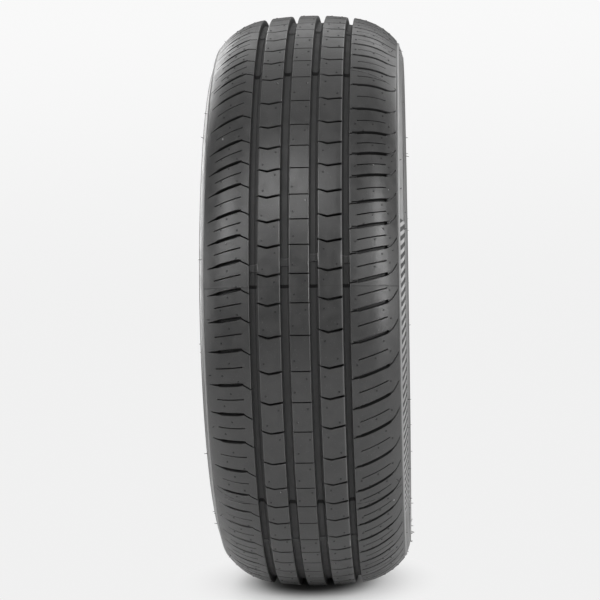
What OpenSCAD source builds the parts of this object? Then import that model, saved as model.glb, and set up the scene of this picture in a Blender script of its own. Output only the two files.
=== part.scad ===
// A tubeless radial car tyre, off its rim. The axle runs along Y through the origin,
// Z is up and the tread faces X. Every cross-section point is [across, radius].

/* [Overall] */
// Outside diameter, over the centre rib
outside_d = 632; // [622:1:660]
// Width across the two sidewalls, where they bulge most
section_w = 204.8; // [200:0.2:212]
// Diameter of the seats that grip the rim
seat_d = 404.4; // [398:0.2:412]
// How far each bead's outer face sits inside the widest place of the sidewall
bead_tuck = 18.4; // [17:0.2:21]

/* [Cross-section] */
// Radius of the nearly flat crown
crown_r = 330; // [280:10:420]
// How far the sidewall bulges out past the corner of the tread
side_bulge = 7.4; // [6.6:0.1:8.4]
// Slope of the shoulder at the edge of the tread, in degrees
shoulder_slope = 50; // [47:1:53]
// Radius of the corner between shoulder and sidewall
edge_r = 6; // [3:0.5:8]
// Slope at which the corner meets the sidewall, in degrees
edge_slope = 60; // [57:0.5:63]
// Height of the bead's flat face, from its heel to the hollow over the rim flange
face_h = 7.1; // [5:0.1:9]
// Radius of the hollow that sits over the rim flange
flange_r = 10; // [7:0.5:14]
// Radius of the bead's heel
heel_r = 5; // [3:0.5:6]
// Width of the bead's seat, from heel face to toe
bead_w = 18; // [15:0.5:21]
// Height of the slanted toe
toe_h = 2; // [1:0.5:4]
// Thickness from the tread surface to the inner lining
crown_t = 16; // [14:0.5:18]
// Thickness of the sidewall at its widest place
side_t = 7; // [5:0.5:9]
// Height of the fine rings that stand on the sidewall
ring_h = 0.8; // [0.4:0.1:1.2]
// Width of those rings
ring_w = 2; // [1.5:0.1:2.6]
// Depth of the shallow channel that runs just below the corner of the tread
channel_depth = 0.8; // [0.4:0.1:1.2]
// Width of that channel
channel_w = 2; // [1.4:0.1:2.6]

/* [Long grooves] */
// Width of the centre rib
centre_rib_w = 17.8; // [16:0.2:22]
// Width of the two ribs beside it
middle_rib_w = 20.1; // [18:0.1:23]
// Width of each long groove at the surface
groove_w = 10.5; // [9:0.1:12]
// Depth of the long grooves
groove_depth = 7.8; // [6.6:0.1:9]
// Width of the bevel along each rib edge
bevel_w = 1.2; // [0.6:0.1:1.6]
// Depth of that bevel
bevel_h = 1; // [0.5:0.1:1.5]
// How far each groove wall leans in below its bevel
wall_lean = 0.9; // [0.4:0.1:1.4]
// Height of the wear bars above the groove floor
wear_bar_h = 1.6; // [1:0.1:2]
// Length of a wear bar around the tyre
wear_bar_l = 8; // [5:0.5:12]
// Number of rows of wear bars
wear_rows = 6; // [3:1:8]

/* [Pitches] */
// Relative lengths of the pattern's four block sizes around the tyre
short_pitch = 25.5; // [24:0.1:27]
// Second size
medium_pitch = 28.4; // [27:0.1:30]
// Third size
long_pitch = 31.6; // [30:0.1:34]
// Fourth size
longest_pitch = 35.6; // [33:0.1:38]
// How many times the order of block sizes repeats around the tyre
repeats = 3; // [2:1:3]
// Angle of the first row, in degrees
first_row = -60.9; // [-90:0.1:90]

/* [Cross cuts] */
// Depth of the cuts across the ribs
rib_cut_depth = 6; // [4:0.1:6.4]
// Width of the fine cuts
fine_cut_w = 1.1; // [0.8:0.1:1.4]
// Width of the wide limb of a middle rib's notch
notch_w = 2; // [1.4:0.1:2.6]
// How far a notch dips in the middle
notch_dip = 2.6; // [1.6:0.1:4]
// Greatest depth of the shoulder grooves
shoulder_cut_depth = 6.3; // [5:0.1:6.6]
// Width of the shoulder grooves
shoulder_cut_w = 3.3; // [2.4:0.1:4.4]
// Fall of the left shoulder's grooves for each millimetre outwards
left_fall = 0.16; // [0.1:0.01:0.25]
// Rise of the right shoulder's grooves for each millimetre outwards
right_rise = 0.25; // [0.15:0.01:0.3]
// Depth of the fine cut between two shoulder grooves
fine_cut_depth = 3.5; // [2:0.1:5]

/* [Hidden] */
$fn = 240;

// Small overlaps that let a cut break cleanly through the surface it leaves
clear = 1.5;
overlap = 0.6;

// Places across the tread, measured along its surface from the centre line
centre_edge = centre_rib_w / 2;
middle_inner = centre_edge + groove_w;
middle_outer = middle_inner + middle_rib_w;
shoulder_inner = middle_outer + groove_w;

function on_arc(centre, r, slope) = centre + r * [sin(slope), cos(slope)];
function arc(centre, r, from, to, steps) =
    [for (i = [0 : steps]) on_arc(centre, r, from + (to - from) * i / steps)];
function degrees_of(length, r) = length / r * 180 / PI;

// Outer arcs, each tangent to the one before it. The shoulder's radius is the one that
// brings its corner out to the start of the sidewall's bulge.
tread_r = outside_d / 2;
crown_slope = degrees_of(shoulder_inner, crown_r);
crown_centre = [0, tread_r - crown_r];
corner_out = section_w / 2 - side_bulge;
corner_w = edge_r * (sin(edge_slope) - sin(shoulder_slope));
shoulder_r = (corner_out - corner_w - crown_r * sin(crown_slope))
    / (sin(shoulder_slope) - sin(crown_slope));
shoulder_centre = on_arc(crown_centre, crown_r - shoulder_r, crown_slope);
edge_centre = on_arc(shoulder_centre, shoulder_r - edge_r, shoulder_slope);
edge_end = on_arc(edge_centre, edge_r, edge_slope);
side_r = side_bulge / (1 - sin(edge_slope));
side_centre = on_arc(edge_end, -side_r, edge_slope);
widest = on_arc(side_centre, side_r, 90);

// Below its widest place the sidewall tucks in, then curls out over the rim flange, so that
// it ends above the bead's face. The tuck is never flatter or steeper than a real one.
seat_r = seat_d / 2;
tuck_room = widest[1] - seat_r - heel_r - face_h;
tuck_h = min(max(tuck_room, 1.2 * bead_tuck), 3 * bead_tuck);
flange_slope = 90 + 2 * atan(bead_tuck / tuck_h);
lower_r = -tuck_h / cos(flange_slope) - flange_r;
lower_centre = widest - [lower_r, 0];
flange_centre = on_arc(lower_centre, lower_r + flange_r, flange_slope);

// Bead
bead_face = section_w / 2 - bead_tuck;
heel_centre = [bead_face - heel_r, seat_r + heel_r];
toe = bead_face - bead_w;
toe_top = [toe - toe_h / 2, seat_r + toe_h];

// Inner arcs: the lining's crown, its shoulder, and the sidewall's inside down to the toe
lining_r = crown_r - crown_t;
lining_widest = widest - [side_t, 0];
rise = widest[1] - crown_centre[1];
bend_r = (lining_r ^ 2 - lining_widest[0] ^ 2 - rise ^ 2) / 2 / (lining_r - lining_widest[0]);
bend_centre = lining_widest - [bend_r, 0];
bend_slope = atan2(bend_centre[0], rise);
lower_lining_r = lower_r - side_t;
toe_offset = toe_top - lower_centre;
toe_slope = 180 + atan2(-toe_offset[0], -toe_offset[1]) - acos(lower_lining_r / norm(toe_offset));

// Position on the tread surface at a distance across it, with the slope there
shoulder_end = shoulder_inner + shoulder_r * (shoulder_slope - crown_slope) * PI / 180;
function half_tread_point(w) =
    w <= shoulder_inner ? on_arc(crown_centre, crown_r, degrees_of(w, crown_r))
    : w <= shoulder_end
        ? on_arc(shoulder_centre, shoulder_r, crown_slope + degrees_of(w - shoulder_inner, shoulder_r))
        : on_arc(edge_centre, edge_r, shoulder_slope + degrees_of(w - shoulder_end, edge_r));
function tread_point(w) = let (p = half_tread_point(abs(w))) [sign(w) * p[0], p[1]];

// One long groove, from its inner to its outer edge
function long_groove(inner, outer) = [
    tread_point(inner),
    tread_point(inner + bevel_w) - [0, bevel_h],
    tread_point(inner + bevel_w + wall_lean) - [0, groove_depth],
    tread_point(outer - bevel_w - wall_lean) - [0, groove_depth],
    tread_point(outer - bevel_w) - [0, bevel_h],
    tread_point(outer)];

// A ring that stands on an arc, or a channel in it where the height is less than nothing
function ring(centre, r, slope, width, height) = let (half = degrees_of(width / 2, r)) [
    on_arc(centre, r, slope - half),
    on_arc(centre, r + height, slope - half / 2),
    on_arc(centre, r + height, slope + half / 2),
    on_arc(centre, r, slope + half)];

// Slopes where the channel and the two rings run, with a flat left beside each
flat_w = 0.4;
channel_slope = edge_slope + degrees_of(flat_w + channel_w / 2, side_r);
upper_ring_slope = channel_slope + degrees_of(flat_w + (channel_w + ring_w) / 2, side_r);
below_upper_ring = upper_ring_slope + degrees_of(flat_w + ring_w / 2, side_r);
lower_ring_slope = flange_slope - 14;
beside_lower_ring = degrees_of(flat_w + ring_w / 2, lower_r);

// An arc's points after its first, which the arc before it already gave
function arc_after(centre, r, from, to, steps) =
    [for (i = [1 : steps]) on_arc(centre, r, from + (to - from) * i / steps)];

outer_half = concat(
    long_groove(centre_edge, middle_inner),
    long_groove(middle_outer, shoulder_inner),
    [for (i = [1 : 4]) tread_point(shoulder_inner + (shoulder_end - shoulder_inner) * i / 4)],
    arc_after(edge_centre, edge_r, shoulder_slope, edge_slope, 2),
    ring(side_centre, side_r, channel_slope, channel_w, -channel_depth),
    ring(side_centre, side_r, upper_ring_slope, ring_w, ring_h),
    arc(side_centre, side_r, below_upper_ring, 90, 4),
    arc_after(lower_centre, lower_r, 90, lower_ring_slope - beside_lower_ring, 4),
    ring(lower_centre, lower_r, lower_ring_slope, ring_w, ring_h),
    arc(lower_centre, lower_r, lower_ring_slope + beside_lower_ring, flange_slope, 2),
    arc_after(flange_centre, -flange_r, flange_slope, 90, 5),
    arc(heel_centre, heel_r, 90, 180, 6));

inner_half = concat(
    [[toe, seat_r]],
    [toe_top],
    arc(lower_centre, lower_lining_r, toe_slope, 90, 6),
    arc_after(bend_centre, bend_r, 90, bend_slope, 10),
    arc(crown_centre, lining_r, bend_slope * 2 / 3, 0, 2));

function flipped(points) = [for (i = [len(points) - 1 : -1 : 0]) [-points[i][0], points[i][1]]];
outline = concat(outer_half, inner_half, flipped(inner_half), flipped(outer_half));

// The plain casing with its long grooves, turned about the axle
module casing() {
    rotate([90, 0, 0]) rotate_extrude() polygon([for (p = outline) [p[1], p[0]]]);
}

// Bars across the floor of the long grooves, whose tops show when the tread is worn out
module wear_bars() {
    centres = [-1, -1, 1, 1] * (middle_inner + centre_edge) / 2
        + [-1, 0, 0, 1] * (middle_outer + shoulder_inner - middle_inner - centre_edge) / 2;
    offsets = [-5.3, 0, 4.3, 2.3];
    first_bar = 10.5;
    floor_w = groove_w - 2 * bevel_w;
    for (row = [0 : wear_rows - 1], i = [0 : 3]) {
        floor_r = tread_point(centres[i])[1] - groove_depth;
        turn = first_bar + row * 360 / wear_rows + degrees_of(offsets[i], floor_r);
        rotate([0, -turn, 0])
            translate([floor_r - 1, centres[i] - floor_w / 2, -wear_bar_l / 2])
                cube([wear_bar_h + 1, floor_w, wear_bar_l]);
    }
}

// Cuts across the tread. A cut's path is a list of [across, along, width] on the unrolled
// tread, with along measured from the row of its pitch.

function band(path) = concat(
    [for (p = path) [p[0], p[1] + p[2] / 2]],
    [for (i = [len(path) - 1 : -1 : 0]) [path[i][0], path[i][1] - path[i][2] / 2]]);

// One flat-floored cut at right angles to the tread under its path. The tread bulges over
// the straight line between the path's ends, and the depth is measured from the bulge.
module cut(row, path, depth) {
    last = path[len(path) - 1];
    middle = (path[0] + last) / 2;
    a = tread_point(path[0][0]);
    b = tread_point(last[0]);
    bulge = norm(tread_point(middle[0]) - (a + b) / 2);
    turn = row + degrees_of(middle[1], tread_r);
    rotate([0, -turn, 0])
        translate([(a[1] + b[1]) / 2, (a[0] + b[0]) / 2, 0])
            rotate([0, 0, atan2(a[1] - b[1], b[0] - a[0])])
                rotate([90, 0, 90])
                    translate([0, 0, bulge - depth])
                        linear_extrude(depth + clear)
                            polygon(band([for (p = path) p - [middle[0], middle[1], 0]]));
}

// The straight fine cut across the centre rib
module centre_cut(row) {
    edge = centre_edge + overlap;
    cut(row, [[-edge, 0, fine_cut_w], [edge, 0, fine_cut_w]], rib_cut_depth);
}

// The shallow V across a middle rib, deepest a third of the way over
module notch(row, left_edge, along) {
    tip = left_edge + middle_rib_w * 0.4;
    cut(row, [
        [left_edge - overlap, along + notch_dip, fine_cut_w],
        [tip, along, (fine_cut_w + notch_w) / 2],
        [left_edge + middle_rib_w + overlap, along + notch_dip, notch_w]], rib_cut_depth);
}

// Left shoulder: a groove falling outwards, a fine link to the long groove, and a fine cut
// halfway to the next row
module left_shoulder(row, half_pitch) {
    start = -(shoulder_inner + 7.4);
    bend = -(shoulder_end - 14.4);
    end = -(shoulder_end - 9);
    along = -14;
    fall = (start - bend) * left_fall;
    cut(row, [
        [start, along, shoulder_cut_w],
        [bend, along - fall, shoulder_cut_w]], shoulder_cut_depth);
    cut(row, [
        [bend, along - fall, shoulder_cut_w],
        [end, along - fall - 0.8, fine_cut_w]], shoulder_cut_depth / 2);
    cut(row, [
        [start, along, fine_cut_w],
        [overlap - shoulder_inner, along - 4.8, fine_cut_w]], shoulder_cut_depth - 1);
    cut(row, [
        [start, along + half_pitch, fine_cut_w],
        [bend, along - fall + half_pitch, fine_cut_w]], fine_cut_depth);
}

// Right shoulder: a groove rising outwards from the long groove and hooking up to the
// corner, and a fine cut halfway to the next row
module right_shoulder(row, half_pitch) {
    start = shoulder_inner - overlap;
    full = shoulder_inner + 7;
    bend = shoulder_end - 14;
    hook = shoulder_end - 6.5;
    end = shoulder_end + 1;
    along = -10.1;
    lift = (bend - start) * right_rise;
    cut(row, [
        [start, along, fine_cut_w],
        [full, along + (full - start) * right_rise, shoulder_cut_w],
        [bend, along + lift, shoulder_cut_w]], shoulder_cut_depth);
    cut(row, [
        [bend, along + lift, shoulder_cut_w],
        [hook, along + lift + 4, 3]], shoulder_cut_depth / 2);
    cut(row, [
        [hook, along + lift + 4, 3],
        [end, along + lift + 13, 3]], shoulder_cut_depth / 3);
    cut(row, [
        [full, along + (full - start) * right_rise + half_pitch, fine_cut_w],
        [bend, along + lift + half_pitch, fine_cut_w]], fine_cut_depth);
}

// The order of block sizes, which varies so that the tread doesn't hum on one note
sizes = [short_pitch, medium_pitch, long_pitch, longest_pitch];
order = [0, 0, 0, 1, 0, 0, 2, 3, 2, 2, 3, 2, 1, 1, 0, 0, 1, 0, 0, 2, 3, 1, 0];
pitches = [for (turn = [1 : repeats]) for (i = order) sizes[i]];
function total(values, count) = count == 0 ? 0 : values[count - 1] + total(values, count - 1);
around = total(pitches, len(pitches));
rows = [for (i = [0 : len(pitches) - 1]) first_row + 360 * total(pitches, i) / around];

module cross_cuts() {
    for (i = [0 : len(rows) - 1]) {
        half_pitch = pitches[i] / 2 * (PI * outside_d / around);
        centre_cut(rows[i]);
        notch(rows[i], -middle_outer, -2.8);
        notch(rows[i], middle_inner, 2.5);
        left_shoulder(rows[i], half_pitch);
        right_shoulder(rows[i], half_pitch);
    }
}

module tyre() {
    color([0.16, 0.16, 0.165])
        difference() {
            union() {
                casing();
                wear_bars();
            }
            cross_cuts();
        }
}

tyre();
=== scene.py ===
# %% [markdown]
# # A car tyre, dressed for the camera
#
# The part's solid gives the tyre its size. Here it gets the detail of a moulded tread: bevelled
# rib edges, fine cuts with clean walls, the small marks that the mould's vents leave, and rubber
# that looks like rubber. The tread is drawn flat, cut into triangles, and then rolled up.

# %% Load the part
import math
import random

import bmesh
import bpy
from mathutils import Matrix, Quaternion, Vector
from mathutils.geometry import delaunay_2d_cdt


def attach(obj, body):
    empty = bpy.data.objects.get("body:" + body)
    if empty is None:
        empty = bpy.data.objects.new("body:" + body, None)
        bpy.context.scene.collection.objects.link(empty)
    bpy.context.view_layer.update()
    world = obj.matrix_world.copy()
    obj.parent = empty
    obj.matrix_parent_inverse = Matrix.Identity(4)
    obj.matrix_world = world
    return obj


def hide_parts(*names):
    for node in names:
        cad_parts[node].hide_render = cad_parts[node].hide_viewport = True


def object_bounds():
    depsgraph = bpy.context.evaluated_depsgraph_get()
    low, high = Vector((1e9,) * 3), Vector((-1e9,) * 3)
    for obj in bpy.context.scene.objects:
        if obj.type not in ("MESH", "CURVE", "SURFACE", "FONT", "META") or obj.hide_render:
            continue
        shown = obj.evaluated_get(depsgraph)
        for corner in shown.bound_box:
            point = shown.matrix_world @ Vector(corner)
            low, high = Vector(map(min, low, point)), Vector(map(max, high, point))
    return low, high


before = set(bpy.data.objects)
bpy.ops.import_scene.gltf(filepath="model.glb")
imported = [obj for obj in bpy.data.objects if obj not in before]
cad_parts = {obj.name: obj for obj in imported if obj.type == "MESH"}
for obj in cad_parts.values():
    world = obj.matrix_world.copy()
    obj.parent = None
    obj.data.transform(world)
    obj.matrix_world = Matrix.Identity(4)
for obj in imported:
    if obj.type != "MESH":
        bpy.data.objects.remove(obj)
cad_low, cad_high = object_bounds()
MM = 0.001
tread_r = round(cad_high.z / MM)
half_width = cad_high.y / MM
print("outside radius", tread_r, "mm, half width", round(half_width, 1), "mm")

# %% [markdown]
# ## The cross-section
#
# A tyre's section is a chain of arcs, each tangent to the last: a nearly flat crown, a shoulder
# that turns down, a tight corner, the sidewall to its widest place, and the lower sidewall that
# curls out over the rim flange. A chain that can be walked by its length is the most useful form,
# because the tread pattern is laid out along that length. Lengths are in millimetres and slopes
# in degrees, where 0 is the top of the crown and 90 is the widest place.

# %% One arc
def on_arc(centre, radius, slope):
    turn = math.radians(slope)
    return (centre[0] + radius * math.sin(turn), centre[1] + radius * math.cos(turn))


class Arc:
    """One arc of the outline, walked by its length."""

    def __init__(self, centre, radius, start, end):
        self.centre, self.radius, self.start, self.end = centre, radius, start, end
        self.length = abs(math.radians(end - start) * radius)

    def point(self, length):
        """The place across, the distance to the axle and the slope, so far along the arc."""
        slope = self.start + (self.end - self.start) * length / self.length
        return *on_arc(self.centre, self.radius, slope), slope


print("a quarter turn of 10 mm radius is", round(Arc((0, 0), 10, 0, 90).length, 1), "mm long")

# %% Driving sizes of the tread and the section
centre_edge, rib_w, groove_w = 8.9, 20.1, 10.5
middle_inner = centre_edge + groove_w
middle_outer = middle_inner + rib_w
shoulder_inner = middle_outer + groove_w
crown_r, corner_r, crown_t, side_t = 330.0, 6.0, 16.0, 7.0
shoulder_slope, corner_slope, side_bulge = 50.0, 60.0, 7.4
seat_r, bead_tuck, bead_w, toe_h = 202.2, 18.4, 18.0, 2.0
flange_r, heel_r, face_h = 10.0, 5.0, 7.1
print("the ribs end", centre_edge, "and", middle_outer, "mm from the centre line, and the",
      "shoulders start at", shoulder_inner, "mm")


# %% A chain of tangent arcs
def sine(slope):
    return math.sin(math.radians(slope))


crown_slope = math.degrees(shoulder_inner / crown_r)
crown_centre = (0.0, tread_r - crown_r)
corner_reach = half_width - side_bulge - corner_r * (sine(corner_slope) - sine(shoulder_slope))
shoulder_r = (corner_reach - crown_r * sine(crown_slope)) / (sine(shoulder_slope) - sine(crown_slope))
shoulder_centre = on_arc(crown_centre, crown_r - shoulder_r, crown_slope)
corner_centre = on_arc(shoulder_centre, shoulder_r - corner_r, shoulder_slope)
corner_end = on_arc(corner_centre, corner_r, corner_slope)
side_r = side_bulge / (1 - sine(corner_slope))
side_centre = on_arc(corner_end, -side_r, corner_slope)
tuck_h = side_centre[1] - seat_r - heel_r - face_h
flange_slope = 90 + 2 * math.degrees(math.atan(bead_tuck / tuck_h))
lower_r = tuck_h / sine(flange_slope - 90) - flange_r
lower_centre = (half_width - lower_r, side_centre[1])
flange_centre = on_arc(lower_centre, lower_r + flange_r, flange_slope)
bead_face = half_width - bead_tuck

outer_arcs = [
    Arc(crown_centre, crown_r, 0, crown_slope),
    Arc(shoulder_centre, shoulder_r, crown_slope, shoulder_slope),
    Arc(corner_centre, corner_r, shoulder_slope, corner_slope),
    Arc(side_centre, side_r, corner_slope, 90),
    Arc(lower_centre, lower_r, 90, flange_slope),
]
shoulder_end = outer_arcs[0].length + outer_arcs[1].length
print("tread edge at", round(shoulder_end, 1), "mm along the surface from the centre line")


# %% A point on the outside at a distance across the tread
def outside(across):
    left = abs(across)
    for arc in outer_arcs:
        if left <= arc.length or arc is outer_arcs[-1]:
            side, radius, slope = arc.point(left)
            return math.copysign(side, across), radius, slope
        left -= arc.length


print("the corner ends at", [round(v, 1) for v in outside(shoulder_end + outer_arcs[2].length)])

# %% [markdown]
# ## The order of the blocks
#
# A tread whose blocks were all the same length would sing one note on the road, so makers mix
# several lengths in an order that spreads the sound. Chance could mix them, but then no two thirds
# of the tread would match. Four lengths and one order that repeats three times round the tyre give
# 69 rows, so only a third of the tread needs to be made.

# %% Rows of one third of the tread
repeats = 3
block_sizes = [25.5, 28.4, 31.6, 35.6]
block_order = [0, 0, 0, 1, 0, 0, 2, 3, 2, 2, 3, 2, 1, 1, 0, 0, 1, 0, 0, 2, 3, 1, 0]
first_row = math.radians(-60.9)
third = 2 * math.pi * tread_r / repeats
stretch = third / sum(block_sizes[i] for i in block_order)
blocks = [block_sizes[i] * stretch for i in block_order]
rows = [sum(blocks[:i]) for i in range(len(blocks))]
print(len(rows) * repeats, "rows, blocks", round(min(blocks), 1), "to", round(max(blocks), 1), "mm")

# %% [markdown]
# ## Cuts as bands on the flat tread
#
# Thin steel blades in the mould leave the cuts across the tread. Cutting hundreds of them with
# booleans would be slow and would leave rough edges, so each cut is a band that follows a bent
# centre line, with a width at each bend. Its depth depends only on how far inside the band's edge
# a point lies: a small chamfer, a steep wall, then the floor. One class gives both the outlines,
# which become edges of the mesh, and the depth at any point.

# %% The band of a cut
def along_line(xs, ys, x):
    """Straight-line interpolation through the points of a bent line."""
    for i in range(1, len(xs)):
        if x <= xs[i] or i == len(xs) - 1:
            share = (x - xs[i - 1]) / (xs[i] - xs[i - 1])
            return ys[i - 1] + (ys[i] - ys[i - 1]) * min(max(share, 0.0), 1.0)


class Band:
    """A cut on the flat tread. Its path is [across, along, width]; its profile is [inset, depth]."""

    # Millimetres between an outline's points, around a cut where it still counts as near, and
    # the distance that stands for far outside it.
    STEP, NEAR, FAR = 7.0, 2.0, -9.0

    def __init__(self, path, profile, row=0.0):
        grow = -profile[0][0]
        path = sorted(path)
        self.xs = [p[0] for p in path]
        self.ys = [p[1] + row for p in path]
        self.halves = [p[2] / 2 + grow for p in path]
        self.insets = [inset + grow for inset, _ in profile]
        self.depths = [depth for _, depth in profile]
        self.first, self.last = self.xs[0] - grow, self.xs[-1] + grow
        self.low = min(self.ys) - max(self.halves)
        self.high = max(self.ys) + max(self.halves)

    def inside(self, x, y):
        """How far inside the band's edge a point lies, less than nothing outside it."""
        if not (self.first - self.NEAR <= x <= self.last + self.NEAR
                and self.low - self.NEAR <= y <= self.high + self.NEAR):
            return self.FAR
        half = along_line(self.xs, self.halves, x)
        middle = along_line(self.xs, self.ys, x)
        return min(half - abs(y - middle), x - self.first, self.last - x)

    def depth(self, x, y):
        reach = self.inside(x, y)
        if reach <= 0:
            return 0.0
        return along_line(self.insets, self.depths, reach)

    def outlines(self):
        """A closed ring of points for each step of the profile."""
        for inset in self.insets:
            start, end = self.first + inset, self.last - inset
            count = max(1, math.ceil((end - start) / self.STEP))
            xs = {start + (end - start) * i / count for i in range(count + 1)}
            xs = sorted(xs | {x for x in self.xs if start < x < end})
            near, far = [], []
            for x in xs:
                half = along_line(self.xs, self.halves, x) - inset
                middle = along_line(self.xs, self.ys, x)
                near.append((x, middle - half))
                far.append((x, middle + half))
            yield near + far[::-1]


# %% [markdown]
# ## The pattern
#
# Each row holds a straight fine cut in the centre rib, a shallow V in each middle rib, a tapered
# groove in each shoulder with its own way of ending, and a fine cut halfway to the next row. The
# rows differ only in length, so one function draws any of them. Its places are measured in
# millimetres from the centre line and from the row, and a profile starts a little outside the
# band's own width, where the chamfer begins.

# %% Profiles of the cuts and of a groove's side
fine = [(-0.2, 0.0), (0.05, 0.6), (0.25, 6.0)]
notched = [(-0.3, 0.0), (0.1, 0.6), (0.35, 6.0)]
shallow = [(-0.2, 0.0), (0.15, 0.5), (0.3, 3.2)]
shoulder_groove = [(-0.35, 0.0), (0.15, 0.9), (0.5, 4.6)]
tail = [(-0.2, 0.0), (0.2, 0.7), (0.4, 1.7)]


groove_h, bevel_h, foot_r = 7.8, 0.35, 1


def wall(lean, bevel=0.55):
    """One side of a long groove: a small bevel, the wall, and the round at its foot."""
    return [(0.0, 0.0), (bevel, bevel_h), (bevel + lean, groove_h - foot_r),
            (bevel + lean + foot_r, groove_h)]


print("cuts", [profile[-1][1] for profile in (fine, notched, shallow, shoulder_groove, tail)],
      "mm deep, long grooves", groove_h, "mm")

# %% The cuts of one row
past_edge = 2.2
left_fall, right_rise = 0.16, 0.25


def row_cuts(row, block):
    half = block / 2
    yield Band([(-centre_edge - past_edge, 0, 0.9), (centre_edge + past_edge, 0, 0.9)], fine, row)
    for left, along in ((-middle_outer, -2.8), (middle_inner, 2.5)):
        yield Band([(left - past_edge, along + 3.2, 1.4), (left + 8.0, along, 2.0),
                    (left + rib_w + past_edge, along + 2.8, 2.4)], notched, row)
    start, bend, end = -(shoulder_inner + 7.4), -(shoulder_end - 15), -(shoulder_end - 4.5)
    fall = (start - bend) * left_fall
    yield Band([(start, -14, 1.8), (start - 5, -14.8, 3.3), (bend + 4, -13.4 - fall, 3.3),
                (bend, -14 - fall, 1.7), (end, -15.4 - fall, 0.4)], shoulder_groove, row)
    yield Band([(start - 1, -14.2, 1.4), (past_edge - shoulder_inner, -19.8, 1.2)], fine, row)
    yield Band([(start, half - 14, 1.1), (bend - 1, half - 14.2 - fall, 1.0)], shallow, row)
    start, full, bend = shoulder_inner - past_edge, shoulder_inner + 6.5, shoulder_end - 14
    lift = (bend - full) * right_rise
    yield Band([(start, -10.2, 1.1), (full, -8.2, 1.1)], fine, row)
    yield Band([(full - 5, -8.4, 2.6), (full + 1, -8.0, 3.0)], tail, row)
    yield Band([(full, -8.2, 3.2), (bend, -8.2 + lift, 3.3), (bend + 2.5, -7.2 + lift, 2.8)],
               shoulder_groove, row)
    yield Band([(bend, -8.2 + lift, 2.6), (bend + 6.7, -4.8 + lift, 2.6),
                (bend + 10.5, -0.8 + lift, 2.4), (bend + 14.2, 4.0 + lift, 2.2)], tail, row)
    yield Band([(full, half - 8.2, 1.1), (bend, half - 8.2 + lift, 1.0)], shallow, row)


bands = []
for row, block in zip(rows, blocks):
    for shift in (-third, 0.0, third):
        bands += [cut for cut in row_cuts(row + shift, block) if cut.low < third and cut.high > 0]
print(len(bands), "cuts in a third of the tread")

# %% [markdown]
# ## Long grooves and wear bars
#
# The four long grooves run the whole way round, so their depth depends on the place across alone,
# and each side has its own slope. Six times round the tyre a low bar crosses each groove floor, and
# its top shows when the tread is worn out. A bar could be a block set into the groove, but then the
# mesh would no longer be one skin. So it is a band too, whose profile is a height to take off the
# groove's depth.

# %% Depth of the tread at any place
grooves = [(-shoulder_inner, -middle_outer, wall(0.8), wall(3.2)),
           (-middle_inner, -centre_edge, wall(0.8), wall(1.6)),
           (centre_edge, middle_inner, wall(0.8), wall(2.4)),
           (middle_outer, shoulder_inner, wall(0.8, 2.2), wall(1.2))]
bar_profile = [(0.0, 0.0), (0.6, 1.3), (1.1, 1.6)]
bar_length, bar_gap, wear_rows, first_bar = 8.0, 0.8, 6, 10.5
bar_offsets = [-5.4, 0.0, 4.4, 2.4]
# The rims' values set how strongly a highlight is painted there.
in_groove, lower_rim_highlight, upper_rim_highlight, rim_reach = 1.0, 1.5, 2.0, 0.02


def groove_depth(across):
    for left, right, left_wall, right_wall in grooves:
        if left < across < right:
            return min(along_line(*zip(*left_wall), across - left),
                       along_line(*zip(*right_wall), right - across))
    return 0.0


bars = []
for number in range(wear_rows // repeats):
    turn = math.radians(first_bar + number * 360 / wear_rows) - first_row
    for (left, right, *_), offset in zip(grooves, bar_offsets):
        middle = (left + right) / 2
        along = (turn * tread_r + offset) % third
        reach = groove_w / 2 - bar_gap
        bars.append(Band([(middle - reach, along, bar_length), (middle + reach, along, bar_length)],
                         bar_profile))


def tread_depth(across, along):
    deep = groove_depth(across)
    deep -= max(bar.depth(across, along) for bar in bars) if deep > 1 else 0.0
    near = [cut for cut in bands if cut.low < along < cut.high]
    return max([deep] + [cut.depth(across, along) for cut in near])


def lit_edge(across, along):
    """0 on the blocks, 1 in the long grooves, more on a wear bar's rim, where a highlight is painted.
    """
    for bar in bars:
        if abs(bar.inside(across, along) - bar_profile[1][0]) < rim_reach:
            return upper_rim_highlight if along > (bar.low + bar.high) / 2 else lower_rim_highlight
    return in_groove if any(left < across < right for left, right, *_ in grooves) else 0.0


print(len(bars), "wear bars, groove depth", groove_depth(middle_inner - groove_w / 2), "mm")

# %% [markdown]
# ## Triangles between the outlines
#
# A grid fine enough for a cut a millimetre wide would take millions of faces. A constrained
# triangulation needs far fewer: the outlines and the groove lines are given as edges, it crosses
# them where they meet, and it fills what lies between. Loose points on the blocks keep the curve
# of the crown smooth.

# %% Lines and loose points
segments = 90
step = third / segments
flat_w = 0.4
corner_length = outer_arcs[2].length
tread_edge = shoulder_end + corner_length + flat_w
lines = [shoulder_end, shoulder_end + corner_length / 2, shoulder_end + corner_length, tread_edge]
lines += [-x for x in lines]
for left, right, left_wall, right_wall in grooves:
    lines += [left + inset for inset, _ in left_wall]
    lines += [right - inset for inset, _ in right_wall]
loose_columns = [0, 4.4, 24.4, 29.4, 34.4, *range(54, 100, 4)]
loose_columns = sorted({side * x for x in loose_columns for side in (-1, 1)})
print(len(lines), "lines and", len(loose_columns), "columns of loose points")

# %% Triangulate one third of the tread
flat_points, flat_edges = [], []
merge, loose_gap = 1e-5, 1


def add_line(points, closed=False):
    """Joins points to each other, in order, as edges of the flat mesh."""
    base = len(flat_points)
    flat_points.extend(Vector(p) for p in points)
    last = len(points) if closed else len(points) - 1
    flat_edges.extend((base + i, base + (i + 1) % len(points)) for i in range(last))


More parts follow.
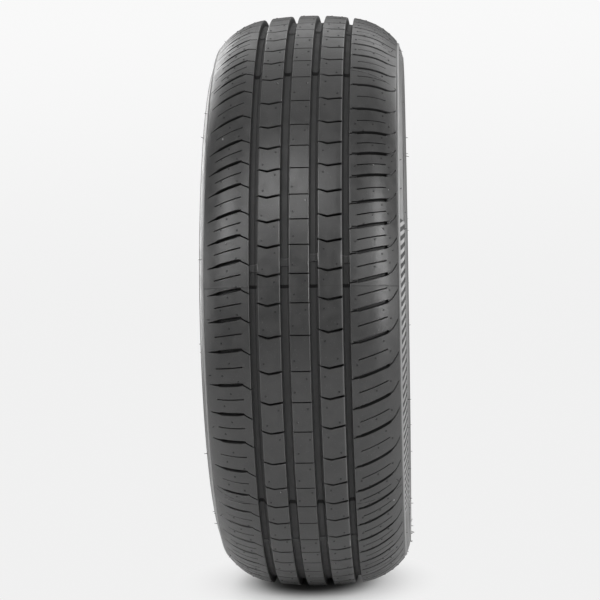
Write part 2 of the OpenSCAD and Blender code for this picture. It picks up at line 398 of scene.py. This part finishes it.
for x in sorted(lines):
    add_line([(x, step * i) for i in range(segments + 1)])
for along in (0.0, third):
    add_line([(x, along) for x in sorted(set(lines) | set(loose_columns))])
for cut in bands + bars:
    for outline in cut.outlines():
        add_line(outline, closed=True)
for x in loose_columns:
    for i in range(1, segments):
        along = step * i
        near = [cut for cut in bands if cut.low - Band.NEAR < along < cut.high + Band.NEAR]
        if all(cut.inside(x, along) < -loose_gap for cut in near):
            flat_points.append(Vector((x, along)))

flat, _, triangles, *_ = delaunay_2d_cdt(flat_points, flat_edges, [], 0, merge, False)


def in_tread(triangle):
    x = sum(flat[i].x for i in triangle) / 3
    y = sum(flat[i].y for i in triangle) / 3
    return abs(x) < tread_edge and 0 < y < third


triangles = [t for t in triangles if in_tread(t)]
print(len(triangles), "triangles in a third of the tread")

# %% [markdown]
# ## Rolling up the tread
#
# A flat point becomes an angle round the axle and a place on the outline. A bend modifier could
# roll the mesh up, but it knows nothing of the outline's arcs, so a formula places each point. Its
# depth is taken straight in towards the axle on the crown, and square to the surface on the
# shoulders, as the mould's blades stand. The same third is laid three times round, and its ends
# meet point for point. Each point keeps its depth and its place in a groove for the finish.

# %% Roll the third up three times
def rolled(across, along, depth=0.0):
    side, radius, slope = outside(across)
    tilt = math.radians(max(slope - crown_slope, 0.0))
    side -= math.copysign(depth * math.sin(tilt), across)
    radius -= depth * math.cos(tilt)
    turn = first_row + along / tread_r
    return Vector((radius * math.cos(turn), side, radius * math.sin(turn))) * MM


body = bmesh.new()
depth_layer = body.verts.layers.float.new("depth")
lit_layer = body.verts.layers.float.new("lit")
used = sorted({i for t in triangles for i in t})
depths = {i: tread_depth(flat[i].x, min(max(flat[i].y, 0.0), third)) for i in used}
lit = {i: lit_edge(*flat[i]) for i in used}
for copy in range(repeats):
    made = {}
    for i in used:
        made[i] = body.verts.new(rolled(flat[i].x, flat[i].y + copy * third, depths[i]))
        made[i][depth_layer], made[i][lit_layer] = depths[i], lit[i]
    for a, b, c in triangles:
        body.faces.new((made[a], made[b], made[c]))
print(len(body.verts), "points in the tread, deepest", round(max(depths.values()), 1), "mm")

# %% [markdown]
# ## Sidewalls, beads and lining
#
# Below the tread the tyre is turned: the same section all the way round. A Screw modifier would
# turn it too, but these rings have to meet the tread's own points, so they are made one by one. The
# section is a list of points that starts where the tread ends, goes round the bead and the lining,
# and comes back up the other side. Fine rings stand on each sidewall, as guides for the fitter.

# %% Points on an arc and across a ring
def arc_points(centre, radius, start, end, steps):
    return [on_arc(centre, radius, start + (end - start) * i / steps) for i in range(steps + 1)]


def ring_points(centre, radius, slope, width=2.0, height=0.8):
    half = math.degrees(width / 2 / radius)
    return [on_arc(centre, radius, slope - half), on_arc(centre, radius + height, slope - half / 2),
            on_arc(centre, radius + height, slope + half / 2), on_arc(centre, radius, slope + half)]


print("a ring takes", len(ring_points(side_centre, side_r, 90)), "points")

# %% Places along the turned section
channel_w, ring_w = 2.0, 2.0
channel = corner_slope + math.degrees((flat_w + channel_w / 2) / side_r)
upper_ring = channel + math.degrees((flat_w + (channel_w + ring_w) / 2) / side_r)
lower_ring, fine_ring, ring_space = flange_slope - 14, 80, 3
toe = bead_face - bead_w
lining_r = crown_r - crown_t
drop = side_centre[1] - crown_centre[1]
lining_side = half_width - side_t
bend_r = (lining_r ** 2 - lining_side ** 2 - drop ** 2) / 2 / (lining_r - lining_side)
bend_centre = (lining_side - bend_r, side_centre[1])
bend_slope = math.degrees(math.atan2(bend_centre[0], drop))
toe_top = (toe - toe_h / 2, seat_r + toe_h)
toe_offset = (toe_top[0] - lower_centre[0], toe_top[1] - lower_centre[1])
inner_lower_r = lower_r - side_t
toe_slope = math.degrees(math.atan2(*toe_offset) - math.acos(inner_lower_r / math.hypot(*toe_offset)))
print("the lining bends at", round(bend_slope, 1), "degrees, with", round(bend_r, 1), "mm radius")

# %% The turned section, point by point
half_section = [outside(tread_edge)[:2]]
half_section += ring_points(side_centre, side_r, channel, channel_w, -0.8)
half_section += ring_points(side_centre, side_r, upper_ring, ring_w, 0.8)
half_section += arc_points(side_centre, side_r, upper_ring + 1.6, fine_ring - 2, 4)
half_section += ring_points(side_centre, side_r, fine_ring, 1.0, 0.4)
half_section += arc_points(side_centre, side_r, fine_ring + 2, 90, 2)
half_section += arc_points(lower_centre, lower_r, 95, lower_ring - ring_space, 5)
half_section += ring_points(lower_centre, lower_r, lower_ring)
half_section += arc_points(lower_centre, lower_r, lower_ring + ring_space, flange_slope - 1, 2)
half_section += arc_points(flange_centre, -flange_r, flange_slope - 4, 90, 5)
half_section += arc_points((bead_face - heel_r, seat_r + heel_r), heel_r, 90, 180, 6)[1:]
half_section += [(toe + 1, seat_r), (toe, seat_r + 0.6), toe_top]
half_section += arc_points(lower_centre, inner_lower_r, toe_slope, 90, 8)
half_section += arc_points(bend_centre, bend_r, 82, bend_slope, 9)
half_section += arc_points(crown_centre, lining_r, bend_slope * 0.75, 0, 3)
section = half_section + [(-side, radius) for side, radius in half_section[-2::-1]]
print(len(section), "points round the section")


# %% Turn the section about the axle
weld = 0.01 * MM


def turned(section, turns):
    """Adds the section's rings and faces to the body, and gives back the faces."""
    rings = []
    for number in range(turns):
        turn = first_row + 2 * math.pi * number / turns
        rings.append([body.verts.new(Vector((radius * math.cos(turn), side,
                                             radius * math.sin(turn))) * MM)
                      for side, radius in section])
    faces = []
    for this, following in zip(rings, rings[1:] + rings[:1]):
        for i in range(len(section) - 1):
            faces.append(body.faces.new((this[i], this[i + 1], following[i + 1], following[i])))
    return faces


lining_start = half_section.index(toe_top)
side_faces = turned(section, segments * repeats)
steps = len(section) - 1
for number, face in enumerate(side_faces):
    lined = lining_start <= number % steps < steps - lining_start
    face.material_index = 2 if lined else 1
bmesh.ops.remove_doubles(body, verts=body.verts, dist=weld)
bmesh.ops.recalc_face_normals(body, faces=body.faces)
open_edges = sum(1 for edge in body.edges if len(edge.link_faces) != 2)
print(len(body.faces), "faces,", open_edges, "edges that don't join two faces")

# %% [markdown]
# ## One piece
#
# A tyre leaves its mould in one piece, so the tread and the turned part are one closed mesh and one
# object. Sharp edges are marked by their angle, which keeps the rims of the blocks crisp while the
# rest is shaded smooth. The object takes the place of the part's solid.

# %% One mesh for the moulding
sharp = math.radians(30)


def placed(form, name):
    """Makes an object of a finished form, which rides on the tyre's body."""
    mesh = bpy.data.meshes.new(name)
    form.to_mesh(mesh)
    form.free()
    made = bpy.data.objects.new(name, mesh)
    bpy.context.collection.objects.link(made)
    mesh.shade_smooth()
    mesh.set_sharp_from_angle(angle=sharp)
    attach(made, "root")
    mesh.calc_loop_triangles()
    print(name, "has", len(mesh.loop_triangles), "triangles")
    return made


moulding = placed(body, "moulding")
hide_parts("tyre")

# %% [markdown]
# ## Vents
#
# Air leaves the mould through small holes, and rubber follows it a little way. On the blocks the
# marks are trimmed to low studs. On the sidewalls some are left as short hairs. Bump could fake the
# studs but not the hairs, which stand out against the backdrop, so both are small closed forms let
# into the surface. Chance places them, from a fixed seed, so that every run gives the same tyre.

# %% A stud or a hair
chance = random.Random(5)
marks = bmesh.new()
root_depth = 0.3 * MM


def spike(foot, way, radius, length, tip, sides):
    """A small closed stud or hair, its foot a little below the surface."""
    across = way.orthogonal().normalized()
    up = way.cross(across)
    loops = []
    for height, scale in ((-root_depth, 1.0), (length, tip)):
        loops.append([marks.verts.new(foot + way * height + (
            across * math.cos(2 * math.pi * i / sides) + up * math.sin(2 * math.pi * i / sides))
            * radius * scale) for i in range(sides)])
    low, high = loops
    marks.faces.new(low[::-1])
    marks.faces.new(high)
    for i in range(sides):
        marks.faces.new((low[i], low[(i + 1) % sides], high[(i + 1) % sides], high[i]))


def outward(across, along):
    """The way out of the surface at a place on the flat tread or below its edge."""
    slope = outside(across)[2]
    turn, tilt = first_row + along / tread_r, math.radians(slope)
    return Vector((math.cos(tilt) * math.cos(turn), math.copysign(math.sin(tilt), across),
                   math.cos(tilt) * math.sin(turn)))


print("a mark is let in by", root_depth / MM, "mm")

# %% Studs on the blocks
# For each column, in millimetres across, how far between two rows it stands, in sixteenths.
stud_columns = {-80: 12, -72: 3, -62: 10, -36: 3, -24: 12, -6: 5, 6: 12, 24: 13, 36: 5,
                55: 2, 63: 13, 74: 4, 84: 12, 92: 7}
stud_share, stud_r, stud_h, stud_tip, stud_sides = 0.7, 1.2 * MM, 0.35 * MM, 0.8, 8
studs = 0
for copy in range(repeats):
    for row, block in zip(rows, blocks):
        for across, offset in stud_columns.items():
            place = across + chance.uniform(-1, 1)
            along = (row + offset * block / 16 + chance.uniform(-1, 1)) % third
            if chance.random() < stud_share and tread_depth(place, along) == 0:
                along += copy * third
                spike(rolled(place, along), outward(place, along), stud_r, stud_h, stud_tip,
                      stud_sides)
                studs += 1
print(studs, "studs")

# %% Hairs on the sidewalls
hairs, hair_columns = 100, (96, 111, 122, 131)
hair_r, hair_tip, hair_sides = 0.4 * MM, 0.5, 5
for _ in range(hairs):
    place = chance.choice((-1, 1, 1)) * chance.choice(hair_columns)
    along = chance.uniform(0, third * repeats)
    lean = Vector([chance.uniform(-0.3, 0.3) for _ in range(3)])
    spike(rolled(place, along), (outward(place, along) + lean).normalized(), hair_r,
          chance.uniform(1, 3.5) * MM, hair_tip, hair_sides)
print(hairs, "hairs")
vents = placed(marks, "vents")

# %% [markdown]
# ## Rubber
#
# Tyre rubber is dark but never black: its rough skin spreads a pale, broad shine, and it dusts and
# mottles a little as it cools. An image could carry such marks, but it would blur close up and show
# a seam where it meets itself, so the finish is built from the distance to the axle, the angle
# round it and soft noise. One small class lets shader sums be written as plain Python, and another
# makes every node of a tree in one method.

# %% A socket that takes part in sums
class Sum:
    def __init__(self, tree, socket):
        self.tree, self.socket = tree, socket

    def maths(self, operation, *others):
        values = (self, *others)
        return self.tree.node("ShaderNodeMath", {"operation": operation},
                              dict(enumerate(values)))

    def __add__(self, other):
        return self.maths("ADD", other)

    def __sub__(self, other):
        return self.maths("SUBTRACT", other)

    def __rsub__(self, other):
        return self.tree.node("ShaderNodeMath", {"operation": "SUBTRACT"}, {0: other, 1: self})

    def __mul__(self, other):
        return self.maths("MULTIPLY", other)

    def __truediv__(self, other):
        return self.maths("DIVIDE", other)

    def __mod__(self, other):
        return self.maths("FLOORED_MODULO", other)

    def __gt__(self, other):
        return self.maths("GREATER_THAN", other)

    def __lt__(self, other):
        return self.maths("LESS_THAN", other)

    def __abs__(self):
        return self.maths("ABSOLUTE")

    __radd__ = __add__
    __rmul__ = __mul__


# %% A tree of nodes
class Graph:
    """A node tree whose nodes all come from one method."""

    # The Mix node's colour inputs and its colour output, by their numbers.
    MIX_LOW, MIX_HIGH, MIX_OUT = 6, 7, 2

    def __init__(self, tree):
        self.nodes, self.links = tree.nodes, tree.links
        self.nodes.clear()

    def node(self, kind, settings=None, inputs=None, output=0):
        """Adds a node, with its settings first, and gives back one of its outputs."""
        made = self.nodes.new(kind)
        for name, value in (settings or {}).items():
            setattr(made, name, value)
        for name, value in (inputs or {}).items():
            if isinstance(value, Sum):
                self.links.new(value.socket, made.inputs[name])
            else:
                made.inputs[name].default_value = value
        return Sum(self, made.outputs[output]) if made.outputs else None

    def mix(self, share, low, high):
        return self.node("ShaderNodeMix", {"data_type": "RGBA"}, {
            0: share, self.MIX_LOW: low, self.MIX_HIGH: high}, self.MIX_OUT)

    def noise(self, place, size_mm, detail=3.0, roughness=0.55):
        return self.node("ShaderNodeTexNoise", {}, {
            "Vector": place, "Scale": 1 / (size_mm * MM), "Detail": detail,
            "Roughness": roughness})

    def ease(self, value, low, high):
        """0 below low, 1 above high, and smooth between."""
        return self.node("ShaderNodeMapRange", {"interpolation_type": "SMOOTHSTEP"}, {
            "Value": value, "From Min": low, "From Max": high})


# %% What the rubbers share
class Rubber(Graph):
    """A rubber's material, with its distance to the axle in mm and its angle in degrees."""

    def __init__(self, name):
        self.material = bpy.data.materials.new(name)
        self.material.use_nodes = True
        super().__init__(self.material.node_tree)
        self.place = self.node("ShaderNodeTexCoord", output="Object")
        off_axle = self.node("ShaderNodeVectorMath", {"operation": "MULTIPLY"},
                             {0: self.place, 1: (1, 0, 1)})
        self.reach = self.node("ShaderNodeVectorMath", {"operation": "LENGTH"},
                               {0: off_axle}, "Value") / MM
        x, self.y, z = (self.node("ShaderNodeSeparateXYZ", {}, {0: self.place}, axis)
                        for axis in "XYZ")
        self.turn = z.maths("ARCTAN2", x) * math.degrees(1)

    def finish(self, colour, roughness, height, distance_mm):
        """Adds the bump, the shader and the output."""
        bump = self.node("ShaderNodeBump", {}, {
            "Height": height, "Distance": distance_mm * MM, "Strength": 1.0}, "Normal")
        shader = self.node("ShaderNodeBsdfPrincipled", {}, {
            "Base Color": colour, "Roughness": roughness, "Normal": bump})
        self.node("ShaderNodeOutputMaterial", {}, {"Surface": shader})
        print(self.material.name, "has", len(self.nodes), "nodes")
        return self.material


def grey(level, warm=0.0):
    return (level * (1 + warm), level, level * (1 - warm), 1.0)


# %% [markdown]
# ## The tread's finish
#
# The tops of the blocks took the mould's polish and shine the most. The walls and floors of the
# long grooves are duller. Their bevels and the rims of the wear bars are painted pale, as painted
# highlights. The narrow cuts are painted nearly black, as painted shade, since little light finds its
# way out of them, and their outer ends on the right shoulder are painted paler, as a painted
# highlight. Pale dots on the tops are painted sparkle. Separate materials would show hard borders,
# so one finish follows the depth that each point keeps. The mould closes in eight segments, and
# each joint leaves a hair line right across the tread, a flash of rubber in each long groove whose
# shade is painted near black, and a rough edge on the shoulders.

# %% Joints of the mould
# The angle of each joint in degrees, and how much rubber it let out.
seams = {52.1: 1.0, 6.15: 0.4, -37.4: 0.8, -82.0: 0.5,
         -127.0: 0.5, -172.0: 0.5, 142.5: 0.5, 97.0: 0.5}
seam_w, ragged_w, scrap_w, scrap_soft = 0.12, 0.25, 0.4, 0.1


def joint_marks(rubber):
    """Masks of the hair lines, the scraps in the grooves, whose shade is painted, and the rough
    edges.
    """
    seam = scrap_and_shade = ragged = 0.0
    for turn, strength in seams.items():
        apart = abs(rubber.turn - turn)
        half_w = scrap_soft + scrap_w * strength
        seam = seam + (1 - rubber.ease(apart, 0.0, seam_w))
        scrap_and_shade = scrap_and_shade + (1 - rubber.ease(apart, half_w, half_w + scrap_soft))
        ragged = ragged + (1 - rubber.ease(apart, 0.0, ragged_w)) * strength
    ragged = ragged * rubber.ease(rubber.noise(rubber.place, 4.0), 0.38, 0.5)
    return seam, scrap_and_shade, ragged * (abs(rubber.y) > shoulder_inner * MM)


# %% Tread rubber
# The pale greys of the bevels, the wear bars' rims, the cuts' outer ends and the sparkle are painted
# highlights; the cuts' grey and the groove flash's grey are painted shade.
top_dark, top_pale, top_cloud, top_sparkle_grey = 0.025, 0.033, 0.024, 0.12
groove_grey, bevel_highlight_grey, bar_rim_highlight_grey = 0.038, 0.115, 0.16
cut_shade_grey, hook_highlight_grey, hook_start, hook_end = 0.006, 0.1, 0.085, 0.091
seam_grey, scrap_shade_grey, ragged_grey = 0.015, 0.002, 0.004


def tread_rubber():
    rubber = Rubber("tread_rubber")
    depth = rubber.node("ShaderNodeAttribute", {"attribute_name": "depth"}, {}, "Fac")
    deep = rubber.ease(depth, 0.5, 5.0)
    edge = rubber.node("ShaderNodeAttribute", {"attribute_name": "lit"}, {}, "Fac")
    # The groove rims' chamfers are painted pale: a painted highlight, stronger on the wear bars'
    # rims.
    bevel = rubber.ease(depth, 0.02, 0.3) * (1 - rubber.ease(depth, 0.4, 1.2)) * edge
    mottle = rubber.ease(rubber.noise(rubber.place, 12.0), 0.35, 0.7)
    cloud = rubber.noise(rubber.place, 60.0, 2.0)
    # Pale dots painted on the tops: a painted sparkle.
    sparkle_mask = rubber.ease(rubber.noise(rubber.place, 1.6, 2.0), 0.64, 0.76)
    top = rubber.mix(mottle, grey(top_dark), grey(top_pale, 0.01))
    top = rubber.mix(cloud * 0.5, top, grey(top_cloud))
    top = rubber.mix(sparkle_mask * 0.35, top, grey(top_sparkle_grey))
    colour = rubber.mix(deep, top, grey(groove_grey))
    colour = rubber.mix(bevel * 0.85, colour, grey(bevel_highlight_grey))
    # The narrow cuts are painted nearly black: painted shade.
    cut = rubber.ease(depth, 0.05, 0.5) * (1 - edge)
    # Their outer ends on the right shoulder are painted paler: a painted highlight.
    hook_highlight = rubber.ease(rubber.y, hook_start, hook_end)
    colour = rubber.mix(cut * 0.8, colour, rubber.mix(hook_highlight, grey(cut_shade_grey), grey(hook_highlight_grey)))
    # The rims of the wear bars are painted pale: a painted highlight.
    colour = rubber.mix((edge - 1) * 0.8, colour, grey(bar_rim_highlight_grey))
    seam, scrap_and_shade, ragged = joint_marks(rubber)
    colour = rubber.mix(seam * 0.4, colour, grey(seam_grey))
    # The flash in each long groove at a joint is painted near black: painted shade.
    colour = rubber.mix(scrap_and_shade * deep, colour, grey(scrap_shade_grey))
    colour = rubber.mix(ragged, colour, grey(ragged_grey))
    grain = rubber.noise(rubber.place, 1.6, 2.0)
    height = grain * 0.3 + seam * 0.15 + ragged * 0.5 + rubber.noise(rubber.place, 9.0) * 0.2
    roughness = 0.33 + mottle * 0.09 + deep * (0.3 + scrap_and_shade * 0.3) + ragged * 0.3
    return rubber.finish(colour, roughness, height, 0.4)


moulding.data.materials.append(tread_rubber())

# %% [markdown]
# ## The sidewall's finish
#
# A real sidewall carries panels of fine ribs that break up reflections and hide the joints in the
# plies. They could be modelled, but they are so low that their outline never shows. So they are a
# height that feeds the bump: slanted ribs side by side, kept within panels by masks on the angle
# and on the distance from the axle. The same masks paint the panels pale, as a painted sheen, with
# dark painted shade between the ribs. The standing ring above them is painted pale, as a painted
# highlight.

# %% Sidewall rubber
# Angles are in degrees and distances from the axle in millimetres.
rib_turn, rib_slant = 1.9, 0.12
panel_turn, panel_half, panel_middle, panel_soft = 120.0, 34.0, -14.0, 0.2
band_low, band_high, band_soft, left_drop = 264.0, 281.0, 0.6, 28.0
ring_reach = on_arc(side_centre, side_r, upper_ring)[1]
# The ring's and the panels' pale greys are painted highlight and sheen; the dark grey between the
# ribs is painted shade.
skin_dark, skin_pale, ring_highlight_grey, panel_sheen_grey, rib_shade_grey = 0.05, 0.064, 0.34, 0.26, 0.01


def sidewall_rubber():
    rubber = Rubber("sidewall_rubber")
    mottle = rubber.ease(rubber.noise(rubber.place, 18.0), 0.3, 0.75)
    colour = rubber.mix(mottle, grey(skin_dark), grey(skin_pale, 0.01))
    band = rubber.reach + (rubber.y < 0) * left_drop
    within = rubber.ease(band, band_low, band_low + band_soft)
    within = within * (1 - rubber.ease(band, band_high - band_soft, band_high))
    apart = abs((rubber.turn - panel_middle + panel_turn / 2) % panel_turn - panel_turn / 2)
    panel = within * (1 - rubber.ease(apart, panel_half, panel_half + panel_soft))
    slant = rubber.turn + rubber.reach * rib_slant
    ribs = rubber.ease(abs(slant % rib_turn - rib_turn / 2) * (2 / rib_turn), 0.4, 0.6)
    ring = 1 - rubber.ease(abs(rubber.reach - ring_reach), ring_w / 2, ring_w / 2 + 0.4)
    # The standing ring is painted pale: a painted highlight.
    colour = rubber.mix(ring * 0.7, colour, grey(ring_highlight_grey))
    # The panels are painted pale, a painted sheen, with dark painted shade between the ribs.
    colour = rubber.mix(panel * 0.8, colour, grey(panel_sheen_grey))
    colour = rubber.mix(panel * ribs * 0.9, colour, grey(rib_shade_grey))
    grain = rubber.noise(rubber.place, 0.9, 2.0)
    height = (1 - ribs) * panel + grain * 0.1
    return rubber.finish(colour, 0.34 + mottle * 0.08 + panel * ribs * 0.35, height, 0.6)


moulding.data.materials.append(sidewall_rubber())

# %% [markdown]
# ## The lining and the vents
#
# Inside, the tyre took the print of the rubber bladder that pressed it into the mould: a smooth,
# slightly shiny skin with slanted air lines. The remainder of the angle, shifted with the place
# across, repeats one line all the way round without a seam. The vents' studs are the same rubber,
# cut across, so most look dark and a few are dusted pale.

# %% Lining and vent rubber
line_turn, line_slant, line_core, line_edge = 2.4, 0.12, 0.05, 0.16
lining_dark, lining_pale, line_grey = 0.03, 0.042, 0.018
stud_dark, stud_pale = 0.005, 0.2


def lining_rubber():
    rubber = Rubber("lining_rubber")
    mottle = rubber.ease(rubber.noise(rubber.place, 25.0), 0.3, 0.75)
    slant = rubber.turn + rubber.y * (line_slant / MM)
    line = abs(slant % line_turn - line_turn / 2)
    groove = 1 - rubber.ease(line, line_core, line_edge)
    colour = rubber.mix(mottle, grey(lining_dark), grey(lining_pale))
    colour = rubber.mix(groove * 0.5, colour, grey(line_grey))
    height = rubber.noise(rubber.place, 1.2, 2.0) * 0.15 - groove * 0.6
    return rubber.finish(colour, 0.38 + mottle * 0.14, height, 0.5)


def vent_rubber():
    rubber = Rubber("vent_rubber")
    shade = rubber.ease(rubber.noise(rubber.place, 9.0, 1.0), 0.67, 0.69)
    colour = rubber.mix(shade, grey(stud_dark), grey(stud_pale))
    return rubber.finish(colour, 0.55 + shade * 0.2, shade, 0.05)


moulding.data.materials.append(lining_rubber())
vents.data.materials.append(vent_rubber())

# %% [markdown]
# ## Camera
#
# A long lens far from the tyre flattens the view. The camera stands a little to the right of the
# tread's middle and a little above the axle, and leans by one degree, as in the photograph. A
# constraint could aim it, but a rotation worked out from its place and its aim needs no helper.

# %% The camera
camera_at = Vector((2.2592, 0.1159, 0.1400))
camera_aim = Vector((0.0, -0.0180, 0.0009))
camera_roll, focal_share, sensor_w = -1.106, 3.3728, 36

camera = bpy.data.objects.new("camera", bpy.data.cameras.new("camera"))
bpy.context.collection.objects.link(camera)
camera.data.sensor_width = sensor_w
camera.data.lens = sensor_w * focal_share
camera.location = camera_at
camera.rotation_mode = "QUATERNION"
aim = (camera_aim - camera_at).to_track_quat("-Z", "Y")
camera.rotation_quaternion = aim @ Quaternion((0, 0, 1), math.radians(camera_roll))
bpy.context.scene.camera = camera
print("lens", round(camera.data.lens, 1), "mm")

# %% [markdown]
# ## Floor and backdrop
#
# The tyre stands on a pale floor that sweeps up into the backdrop. Both glow white for the camera's
# own rays and send the tyre little light, because pale walls all round would fill the grooves and
# wash out the rubber. Close to the tyre the floor is plain matt, so that it shows the shadow, and
# where the tread rests its colour is darkened still more, as a painted shadow.

# %% The floor's finish
low_white, high_white = 0.875, 0.945
# The first grey is a painted shadow under the tread.
contact_shadow_grey, near_grey, far_grey = 0.3, 0.9, 0.25
shadow_scale, shadow_shift = (0.8, 1, 0), (0, 0.01, 0)
contact_start, contact_end, shadow_end = 0.04, 0.09, 0.15
bounce_start, bounce_end = 0.35, 1.6


def sweep_finish():
    material = bpy.data.materials.new("pale_sweep")
    material.use_nodes = True
    pale = Graph(material.node_tree)
    seen = pale.node("ShaderNodeLightPath", {}, {}, "Is Camera Ray")
    place = pale.node("ShaderNodeTexCoord", output="Object")
    height = pale.node("ShaderNodeSeparateXYZ", {}, {0: place}, "Z")
    tint = pale.mix(pale.ease(height, -0.3, 0.7), grey(low_white), grey(high_white))
    level = pale.node("ShaderNodeVectorMath", {"operation": "MULTIPLY_ADD"},
                      {0: place, 1: shadow_scale, 2: shadow_shift})
    away = pale.node("ShaderNodeVectorMath", {"operation": "LENGTH"}, {0: level}, "Value")
    # Where the tread rests, the floor's colour is darkened: a painted contact shadow.
    near = pale.mix(pale.ease(away, contact_start, contact_end), grey(contact_shadow_grey),
                    grey(near_grey))
    bounce = pale.mix(pale.ease(away, bounce_start, bounce_end), near, grey(far_grey))
    matt = pale.node("ShaderNodeBsdfDiffuse", {}, {"Color": bounce})
    glow = pale.node("ShaderNodeEmission", {}, {"Color": tint, "Strength": 1.0})
    share = seen * pale.ease(away, contact_start, shadow_end)
    shader = pale.node("ShaderNodeMixShader", {}, {0: share, 1: matt, 2: glow})
    pale.node("ShaderNodeOutputMaterial", {}, {"Surface": shader})
    return material


print("the floor shows shadow up to about", shadow_end, "m from the tyre's foot")

# %% The sweep
floor_z = -tread_r * MM
front_x, bend_x, sweep_r, top_z, sweep_half = 6.0, -2.5, 1.5, 6.0, 8
sweep_line = [(front_x, floor_z), (bend_x, floor_z)]
sweep_line += [(bend_x - sweep_r * math.sin(math.radians(a)),
                floor_z + sweep_r * (1 - math.cos(math.radians(a)))) for a in range(10, 91, 10)]
sweep_line += [(bend_x - sweep_r, top_z)]
sheet = bmesh.new()
columns = [[sheet.verts.new((x, y, z)) for x, z in sweep_line] for y in (-sweep_half, sweep_half)]
for i in range(len(sweep_line) - 1):
    sheet.faces.new((columns[0][i], columns[0][i + 1], columns[1][i + 1], columns[1][i]))
sweep_mesh = bpy.data.meshes.new("sweep")
sheet.to_mesh(sweep_mesh)
sheet.free()
sweep_mesh.shade_smooth()
sweep_mesh.materials.append(sweep_finish())
sweep = bpy.data.objects.new("sweep", sweep_mesh)
bpy.context.collection.objects.link(sweep)
print("floor at", floor_z, "m")

# %% [markdown]
# ## Light
#
# Black rubber shows little but what it mirrors, so a single lamp would leave most of it flat. Soft
# lamps are placed by what each one draws: a sheen on the crown and along the ribs, bands on the
# shoulders, and pale lines down both sides. The air itself gives only a low, even light, which
# keeps the grooves dark.


# %% The lamps
def lamp(name, at, power, width, height):
    """A soft rectangle of light, aimed at the wheel's centre."""
    data = bpy.data.lights.new(name, "AREA")
    data.shape, data.size, data.size_y, data.energy = "RECTANGLE", width, height, power
    made = bpy.data.objects.new(name, data)
    bpy.context.collection.objects.link(made)
    made.location = at
    made.rotation_mode = "QUATERNION"
    made.rotation_quaternion = (-Vector(at)).to_track_quat("-Z", "Y")


# Name, place in metres, watts, width and height in metres.
lamps = [
    ("top_lamp", (-0.3, 0.0, 2.6), 5, 2.0, 1.4),
    ("back_lamp", (-1.6, 0.0, 2.0), 11, 2.0, 1.4),
    ("top_left_lamp", (-1.5, -1.25, 1.55), 4, 1.2, 1.2),
    ("top_right_lamp", (-1.5, 1.25, 1.55), 7, 1.2, 1.2),
    ("front_lamp", (1.72, -0.33, 1.74), 19, 1.2, 1.0),
    ("left_fill", (1.95, -1.25, 0.95), 9, 0.8, 1.0),
    ("right_fill", (2.0, 1.35, 0.8), 9, 0.8, 1.3),
    ("right_lamp", (1.12, 2.2, 0.7), 35, 0.26, 1.8),
    ("left_lamp", (1.2, -2.1, 1.1), 23, 0.8, 1.3),
    ("right_side_lamp", (0.2, 2.4, -0.05), 8, 1.2, 1.0),
    ("left_side_lamp", (-0.4, -2.4, 0.1), 6.5, 1.2, 0.8),
    ("right_rim_lamp", (-1.9, 1.9, 0.5), 17, 1.4, 1.6),
    ("left_rim_lamp", (-2.3, -1.5, 0.6), 27, 1.2, 2.0),
]
for values in lamps:
    lamp(*values)
print(len(lamps), "lamps")

# %% The air's own light
air_grey, backdrop_grey = 0.24, 0.9
world = bpy.data.worlds.new("air")
bpy.context.scene.world = world
world.use_nodes = True
air = Graph(world.node_tree)
seen = air.node("ShaderNodeLightPath", {}, {}, "Is Camera Ray")
glow = air.node("ShaderNodeBackground", {}, {
    "Color": air.mix(seen, grey(air_grey), grey(backdrop_grey))})
air.node("ShaderNodeOutputWorld", {}, {"Surface": glow})
bpy.context.scene.view_settings.view_transform = "Standard"
print("air at", air_grey, "of white")
